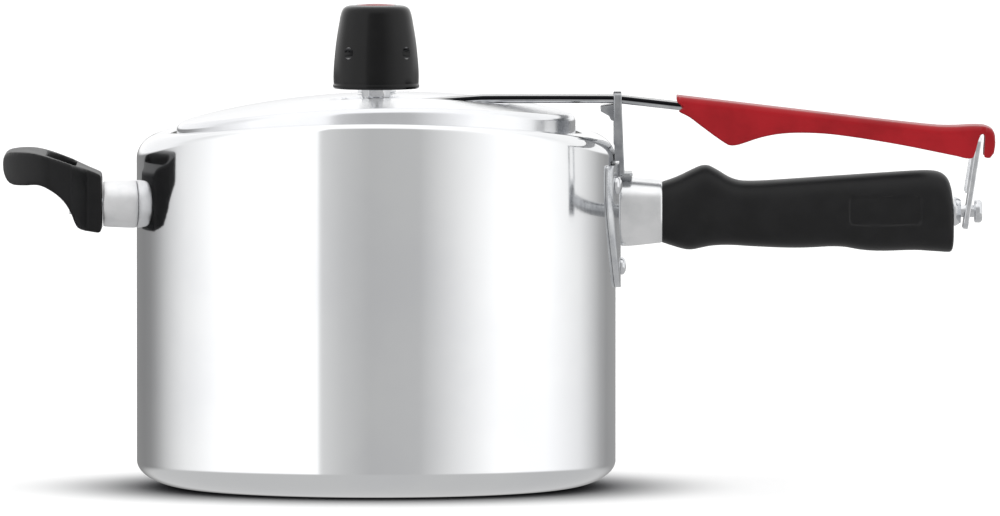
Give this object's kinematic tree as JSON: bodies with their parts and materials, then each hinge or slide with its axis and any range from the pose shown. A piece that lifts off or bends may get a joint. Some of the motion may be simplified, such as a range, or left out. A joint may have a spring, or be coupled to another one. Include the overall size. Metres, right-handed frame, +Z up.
{
  "type": "pressure canner",
  "caption": "Stove-top pressure canner with an inside-seating oval lid, sprung-down lever, latch link, long main handle, helper handle and a lift-off pressure weight.",
  "frame": {"origin": "centre of the pot's base, on the plane it stands on", "axes": "+Z up along the pot's axis, +X along the main handle, +Y to the left of the main handle seen from the pot"},
  "size_m": [0.4249, 0.205, 0.2069],
  "materials": {
    "pot_aluminium": "polished",
    "lid_aluminium": "polished",
    "sleeve_aluminium": "polished",
    "bracket_aluminium": "satin",
    "steel": "satin",
    "bright_steel": "polished",
    "weight_plastic": "satin",
    "silicone": "matte",
    "plug_silicone": "matte",
    "red_plastic": "gloss",
    "badge_plastic": "gloss",
    "black_plastic": "satin"
  },
  "bodies": {
    "pot": {"pot_body": "pot_aluminium", "handle_bracket": "bracket_aluminium", "bracket_rivets": "steel", "fork": "steel", "handle_rod": "steel", "handle_ferrule": "sleeve_aluminium", "main_handle": "black_plastic", "catch_nut": "bright_steel", "helper_bolt": "steel", "helper_ferrule": "sleeve_aluminium", "helper_handle": "black_plastic", "helper_nut": "steel"},
    "lid": {"lid": "lid_aluminium", "lid_gasket": "silicone", "vent_tube": "steel", "vent_seal": "silicone", "vent_washer": "steel", "vent_nut": "steel", "safety_plug": "plug_silicone", "safety_seat": "steel", "lever_bar": "steel", "lever_grip": "red_plastic", "lever_grip_screws": "steel"},
    "weight": {"weight_cover": "weight_plastic", "weight_core": "steel", "weight_badge": "badge_plastic"},
    "catch_link": {"latch_link": "bright_steel"}
  },
  "joints": [
    {"name": "lid_rock", "type": "hinge", "parent": "pot", "child": "lid", "pos_m": [0.1033, 0, 0.1645], "axis": [0, -1, 0], "range_deg": [0, 7]},
    {"name": "weight_lift", "type": "slide", "parent": "lid", "child": "weight", "axis": [0, 0, 1], "range_m": [0, 0.035]},
    {"name": "link_swing", "type": "hinge", "parent": "pot", "child": "catch_link", "pos_m": [0.2532, 0, 0.1181], "axis": [0, -1, 0], "range_deg": [0, 24]}
  ]
}
